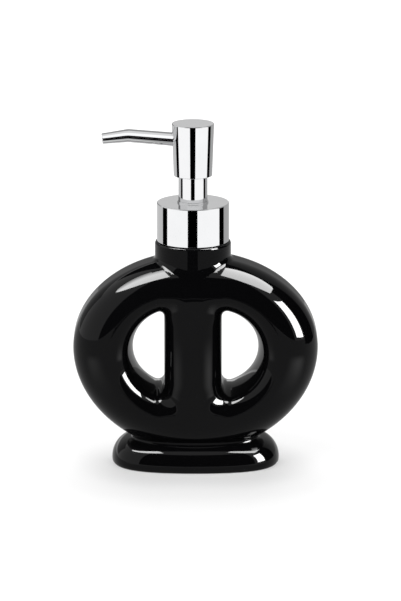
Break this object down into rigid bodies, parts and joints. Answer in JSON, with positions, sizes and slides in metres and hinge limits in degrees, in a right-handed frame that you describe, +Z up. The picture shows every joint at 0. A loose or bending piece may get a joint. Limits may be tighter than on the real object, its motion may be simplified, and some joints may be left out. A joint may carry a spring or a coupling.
{
  "type": "soap pump dispenser",
  "caption": "Ring-shaped black glazed bottle with a central column, see-through windows and a foot, topped by a chrome screw-on lotion pump with a swivelling bent spout.",
  "frame": {"origin": "middle of the foot's underside, on the table", "axes": "+Z up, the bottle's front faces -Y, the spout points to -X"},
  "size_m": [0.1152, 0.0504, 0.1631],
  "materials": {
    "glaze": "gloss black glaze",
    "chrome": "polished",
    "insert_plastic": "moulded",
    "cap_plastic": "moulded",
    "gasket": "matt",
    "pump_plastic": "translucent moulded",
    "bush_plastic": "moulded",
    "seal_plastic": "soft moulded",
    "tube_plastic": "extruded",
    "core_plastic": "moulded",
    "steel": "bright"
  },
  "bodies": {
    "bottle": {"bottle_body": "glaze", "neck_insert": "insert_plastic"},
    "pump": {"pump_housing": "pump_plastic", "guide_bush": "bush_plastic", "neck_gasket": "gasket", "ball_cage": "pump_plastic", "dip_tube": "tube_plastic", "return_spring": "steel"},
    "collar": {"collar_shell": "chrome", "closure_cap": "cap_plastic"},
    "plunger": {"piston_seal": "seal_plastic"},
    "head": {"pump_stem": "pump_plastic", "piston_retainer": "pump_plastic", "stem_sleeve": "chrome", "head_core": "core_plastic", "head_shell": "chrome", "spout_tube": "chrome"},
    "inlet_valve": {"inlet_ball": "steel"},
    "outlet_valve": {"outlet_ball": "steel"}
  },
  "joints": [
    {"name": "thread_rise", "type": "slide", "parent": "bottle", "child": "pump", "axis": [0, 0, 1], "range_m": [0, 0.0053]},
    {"name": "collar_turn", "type": "hinge", "parent": "pump", "child": "collar", "pos_m": [-0.0012, 0, 0.116], "axis": [0, 0, 1], "range_deg": [0, 450]},
    {"name": "pump_stroke", "type": "slide", "parent": "pump", "child": "plunger", "axis": [0, 0, -1], "range_m": [0, 0.011], "stiffness_N_per_m": 700, "springref_m": -0.01, "deforming": ["return_spring"]},
    {"name": "head_swivel", "type": "hinge", "parent": "plunger", "child": "head", "pos_m": [-0.0012, 0, 0.13], "axis": [0, 0, 1], "continuous": true},
    {"name": "inlet_lift", "type": "slide", "parent": "pump", "child": "inlet_valve", "axis": [0, 0, 1], "range_m": [0, 0.0025]},
    {"name": "outlet_lift", "type": "slide", "parent": "head", "child": "outlet_valve", "axis": [0, 0, 1], "range_m": [0, 0.0018]}
  ],
  "couplings": [
    {"joint": "thread_rise", "follows": "collar_turn", "m_per_rad": 0.0006737}
  ]
}
